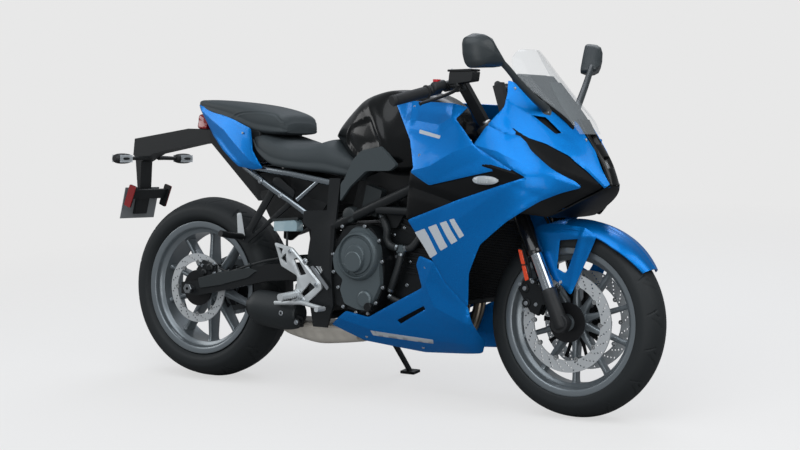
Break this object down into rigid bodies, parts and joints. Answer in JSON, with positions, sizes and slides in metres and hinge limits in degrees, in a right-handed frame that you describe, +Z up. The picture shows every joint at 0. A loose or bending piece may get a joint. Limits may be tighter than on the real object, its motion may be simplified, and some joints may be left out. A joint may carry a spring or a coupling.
{
  "type": "sport motorcycle",
  "caption": "Middleweight sport motorcycle with half fairing, clip-on bars, twin front discs and cast wheels, leaning on its side stand.",
  "frame": {"origin": "bottom centre of the overall box, on the ground under the motorcycle as it leans on its side stand", "axes": "+X forwards along the motorcycle, +Y to the rider's left, +Z up from the ground"},
  "size_m": [2.1384, 0.7828, 1.2284],
  "materials": {
    "axle_steel": "plated",
    "black_gloss": "gloss black",
    "black_plastic": "textured black",
    "blue_paint": "metallic blue gloss",
    "caliper_black": "satin black",
    "cap_metal": "satin black",
    "cast_black": "satin black",
    "cast_silver": "bare cast aluminium",
    "chain_steel": "oiled",
    "disc_steel": "ground steel",
    "engine_black": "satin black",
    "engine_cover": "satin dark grey",
    "exhaust_steel": "heat tinted",
    "fork_black": "gloss black anodised",
    "frame_black": "semi gloss black",
    "hose_black": "rubber hose",
    "indicator_clear": "clear lens",
    "lamp_red": "red lens",
    "muffler_black": "matt black",
    "plate_metal": "plain grey",
    "polished_steel": "polished",
    "radiator_core": "black core",
    "screen_clear": "clear screen",
    "seat_cover": "grained vinyl",
    "shock_steel": "black",
    "sprocket_steel": "machined",
    "tyre": "matt rubber",
    "wheel_silver": "silver grey paint"
  },
  "bodies": {
    "chassis": {"drive_chain": "chain_steel", "engine": "engine_black", "engine_covers": "engine_cover", "exhaust_pipes": "exhaust_steel", "foot_pedals": "cast_silver", "footrests": "cast_silver", "frame_covers": "black_plastic", "fuel_tank": "black_gloss", "headlight": "black_gloss", "indicators": "indicator_clear", "inner_cowls": "black_plastic", "instrument_panel": "black_plastic", "lower_cowls": "blue_paint", "main_frame": "frame_black", "mirrors": "black_plastic", "muffler": "muffler_black", "nose_cowls": "blue_paint", "number_plate": "plate_metal", "passenger_seat": "seat_cover", "radiator": "radiator_core", "rear_axle": "axle_steel", "rear_caliper": "caliper_black", "rear_shock": "shock_steel", "rear_subframe": "polished_steel", "rider_seat": "seat_cover", "side_cowls": "blue_paint", "swingarm": "cast_black", "swingarm_pivot": "axle_steel", "tail_cowls": "blue_paint", "tail_lamp": "lamp_red", "tank_covers": "blue_paint", "undertail": "black_plastic", "windscreen": "screen_clear"},
    "fuel_cap": {"fuel_cap": "cap_metal"},
    "side_stand": {"side_stand": "frame_black"},
    "steering": {"fork_legs": "fork_black", "fork_yokes": "cast_black", "handlebars": "cast_black", "hand_controls": "black_plastic", "front_fender": "blue_paint", "front_calipers": "caliper_black", "front_axle": "axle_steel", "brake_hoses": "hose_black"},
    "front_wheel": {"front_rim": "wheel_silver", "front_tyre": "tyre", "front_discs": "disc_steel"},
    "rear_wheel": {"rear_rim": "wheel_silver", "rear_tyre": "tyre", "rear_disc": "disc_steel", "rear_sprocket": "sprocket_steel"}
  },
  "joints": [
    {"name": "steering_turn", "type": "hinge", "parent": "chassis", "child": "steering", "pos_m": [0.5002, -0.0513, 0.79015], "axis": [-0.4226, 0.1418, 0.8951], "range_deg": [-25, 25]},
    {"name": "front_wheel_spin", "type": "hinge", "parent": "steering", "child": "front_wheel", "pos_m": [0.76925, -0.12952, 0.29631], "axis": [0, 0.9877, -0.1564], "continuous": true},
    {"name": "rear_wheel_spin", "type": "hinge", "parent": "chassis", "child": "rear_wheel", "pos_m": [-0.69575, -0.12717, 0.31112], "axis": [0, 0.9877, -0.1564], "continuous": true},
    {"name": "side_stand_fold", "type": "hinge", "parent": "chassis", "child": "side_stand", "pos_m": [-0.11125, 0.03888, 0.20889], "axis": [0, 0.9613, 0.2756], "range_deg": [0, 105]},
    {"name": "fuel_cap_hinge", "type": "hinge", "parent": "chassis", "child": "fuel_cap", "pos_m": [0.15575, -0.01923, 0.99263], "axis": [0, 0.9877, -0.1564], "range_deg": [0, 80]}
  ]
}
